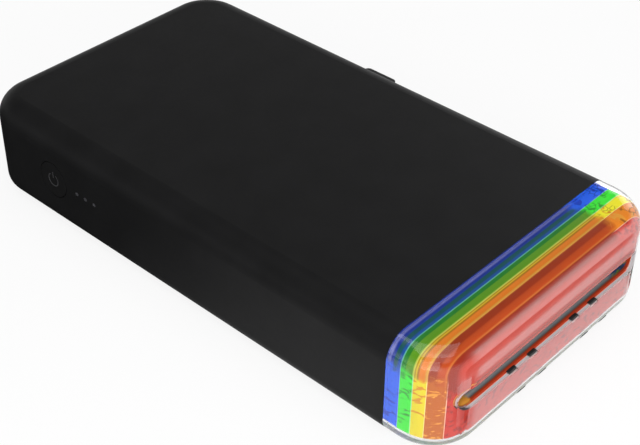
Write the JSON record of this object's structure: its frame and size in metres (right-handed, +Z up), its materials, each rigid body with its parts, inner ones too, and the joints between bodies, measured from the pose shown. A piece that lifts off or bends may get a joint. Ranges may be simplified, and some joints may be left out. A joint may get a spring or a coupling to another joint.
{
  "type": "compact photo printer",
  "caption": "Pocket photo printer: rounded black casing, clear nose over coloured plates with a paper slot, side door over a paper and film cartridge.",
  "frame": {"origin": "on the desk, under the middle of the casing, in the plane of the foot ring's underside", "axes": "+Z up, -Y out of the paper slot, +Y to the rear with the charging socket, -X the side with the power button, +X the side with the cartridge door"},
  "size_m": [0.0828, 0.151, 0.027],
  "materials": {
    "black_plastic": "satin",
    "tab_plastic": "satin",
    "black_rubber": "matte",
    "clear_plastic": "polished",
    "blue_tint": "polished",
    "green_tint": "polished",
    "yellow_tint": "polished",
    "orange_tint": "polished",
    "red_tint": "polished",
    "dark_plastic": "satin",
    "grey_plastic": "satin",
    "gear_plastic": "satin",
    "brass": "satin",
    "steel": "brushed",
    "sheet_steel": "satin",
    "aluminium": "satin",
    "board_green": "satin",
    "battery_foil": "satin",
    "cable_film": "glossy",
    "paper": "satin",
    "film": "glossy",
    "felt": "matte",
    "roller_rubber": "matte"
  },
  "bodies": {
    "printer": {"outer_shell": "black_plastic", "bottom_cover": "black_plastic", "foot_ring": "black_rubber", "clear_nose": "clear_plastic", "blue_plate": "blue_tint", "green_plate": "green_tint", "yellow_plate": "yellow_tint", "orange_plate": "orange_tint", "red_plate": "red_tint", "front_bulkhead": "dark_plastic", "exit_guide": "dark_plastic", "hinge_pins": "steel", "door_catch": "sheet_steel", "light_pipes": "clear_plastic", "side_board": "board_green", "main_board": "board_green", "battery": "battery_foil", "charging_board": "board_green", "charging_socket": "steel", "head_cable": "cable_film", "chassis": "grey_plastic", "bay_deck": "sheet_steel", "tie_plate": "sheet_steel", "screws": "steel", "cartridge_case": "dark_plastic", "paper_stack": "paper", "ribbon": "film", "shaft_bushes": "brass", "gear_posts": "steel", "head_pivot": "steel", "return_springs": "steel", "cam_motor": "steel", "feed_motor": "steel", "clutch_felt": "felt"},
    "door": {"cartridge_door": "black_plastic", "pull_tab": "tab_plastic", "door_magnet": "steel"},
    "power_button": {"power_button": "black_plastic"},
    "capstan": {"capstan_roller": "steel", "capstan_gear": "gear_plastic"},
    "platen": {"platen_roller": "roller_rubber"},
    "pinch": {"pinch_roller": "roller_rubber"},
    "link_gear": {"link_gear": "gear_plastic"},
    "take_up_gear": {"take_up_gear": "gear_plastic"},
    "take_up": {"take_up_hub": "gear_plastic", "take_up_spool": "film"},
    "supply": {"supply_hub": "gear_plastic", "supply_spool": "film"},
    "idler_gear": {"idler_gear": "gear_plastic"},
    "reduction_gear": {"reduction_gear": "gear_plastic"},
    "two_step_gear": {"two_step_gear": "gear_plastic"},
    "feed_pinion": {"feed_pinion": "brass"},
    "pick_shaft": {"pick_shaft": "steel"},
    "pick_arm": {"pick_arm": "grey_plastic", "pick_belt": "black_rubber"},
    "pick_roller": {"pick_roller": "roller_rubber"},
    "cam_shaft": {"cam_shaft": "steel"},
    "cam_pinion": {"cam_pinion": "brass"},
    "head": {"head_arm": "sheet_steel", "thermal_head": "aluminium"}
  },
  "joints": [
    {"name": "door_hinge", "type": "hinge", "parent": "printer", "child": "door", "pos_m": [0.0389, 0.0093, 0.0042], "axis": [0, 1, 0], "range_deg": [0, 90]},
    {"name": "power_button_press", "type": "slide", "parent": "printer", "child": "power_button", "axis": [1, 0, 0], "range_m": [0, 0.0005], "stiffness_N_per_m": 600},
    {"name": "capstan_turn", "type": "hinge", "parent": "printer", "child": "capstan", "pos_m": [0, -0.05, 0.0086], "axis": [1, 0, 0], "continuous": true},
    {"name": "platen_turn", "type": "hinge", "parent": "printer", "child": "platen", "pos_m": [0, -0.03, 0.0071], "axis": [1, 0, 0], "continuous": true},
    {"name": "pinch_turn", "type": "hinge", "parent": "printer", "child": "pinch", "pos_m": [0, -0.05, 0.0149], "axis": [1, 0, 0], "continuous": true},
    {"name": "link_gear_turn", "type": "hinge", "parent": "printer", "child": "link_gear", "pos_m": [-0.033, -0.04283, 0.01215], "axis": [1, 0, 0], "continuous": true},
    {"name": "take_up_gear_turn", "type": "hinge", "parent": "printer", "child": "take_up_gear", "pos_m": [-0.033, -0.0382, 0.0174], "axis": [1, 0, 0], "continuous": true},
    {"name": "take_up_turn", "type": "hinge", "parent": "printer", "child": "take_up", "pos_m": [0, -0.0382, 0.0174], "axis": [1, 0, 0], "continuous": true},
    {"name": "supply_turn", "type": "hinge", "parent": "printer", "child": "supply", "pos_m": [0, -0.0218, 0.0174], "axis": [1, 0, 0], "continuous": true},
    {"name": "idler_gear_turn", "type": "hinge", "parent": "printer", "child": "idler_gear", "pos_m": [-0.033, -0.02749, 0.01322], "axis": [1, 0, 0], "continuous": true},
    {"name": "reduction_gear_turn", "type": "hinge", "parent": "printer", "child": "reduction_gear", "pos_m": [-0.033, -0.01199, 0.01366], "axis": [1, 0, 0], "continuous": true},
    {"name": "two_step_gear_turn", "type": "hinge", "parent": "printer", "child": "two_step_gear", "pos_m": [-0.035, -0.00107, 0.01232], "axis": [1, 0, 0], "continuous": true},
    {"name": "feed_pinion_turn", "type": "hinge", "parent": "printer", "child": "feed_pinion", "pos_m": [-0.035, 0.008, 0.0176], "axis": [1, 0, 0], "continuous": true},
    {"name": "pick_shaft_turn", "type": "hinge", "parent": "printer", "child": "pick_shaft", "pos_m": [0, 0.01745, 0.01661], "axis": [1, 0, 0], "continuous": true},
    {"name": "pick_arm_lift", "type": "hinge", "parent": "printer", "child": "pick_arm", "pos_m": [0, 0.01745, 0.01661], "axis": [1, 0, 0], "range_deg": [-16, 0]},
    {"name": "pick_roller_turn", "type": "hinge", "parent": "pick_arm", "child": "pick_roller", "pos_m": [0, 0.0063, 0.01117], "axis": [1, 0, 0], "continuous": true},
    {"name": "cam_turn", "type": "hinge", "parent": "printer", "child": "cam_shaft", "pos_m": [0, -0.0026, 0.0152], "axis": [1, 0, 0], "range_deg": [0, 180]},
    {"name": "cam_pinion_turn", "type": "hinge", "parent": "printer", "child": "cam_pinion", "pos_m": [0.024, 0.00464, 0.01714], "axis": [1, 0, 0], "range_deg": [-360, 0]},
    {"name": "head_press", "type": "hinge", "parent": "printer", "child": "head", "pos_m": [0, -0.011, 0.0203], "axis": [1, 0, 0], "range_deg": [0, 3.2], "stiffness_Nm_per_rad": 0.02, "springref_deg": -17.19}
  ],
  "couplings": [
    {"joint": "platen_turn", "follows": "capstan_turn", "ratio": 1},
    {"joint": "pinch_turn", "follows": "capstan_turn", "ratio": -1},
    {"joint": "link_gear_turn", "follows": "capstan_turn", "ratio": -1.6667},
    {"joint": "take_up_gear_turn", "follows": "capstan_turn", "ratio": 1.25},
    {"joint": "take_up_turn", "follows": "capstan_turn", "ratio": 0.88235},
    {"joint": "supply_turn", "follows": "capstan_turn", "ratio": 0.75},
    {"joint": "idler_gear_turn", "follows": "capstan_turn", "ratio": -0.66667},
    {"joint": "reduction_gear_turn", "follows": "capstan_turn", "ratio": 0.625},
    {"joint": "two_step_gear_turn", "follows": "capstan_turn", "ratio": -1.6667},
    {"joint": "feed_pinion_turn", "follows": "capstan_turn", "ratio": 5.3333},
    {"joint": "pick_shaft_turn", "follows": "capstan_turn", "ratio": -1.9048},
    {"joint": "pick_roller_turn", "follows": "capstan_turn", "ratio": -1.9048},
    {"joint": "cam_pinion_turn", "follows": "cam_turn", "ratio": -2},
    {"joint": "head_press", "follows": "cam_turn", "ratio": 0.017778}
  ]
}
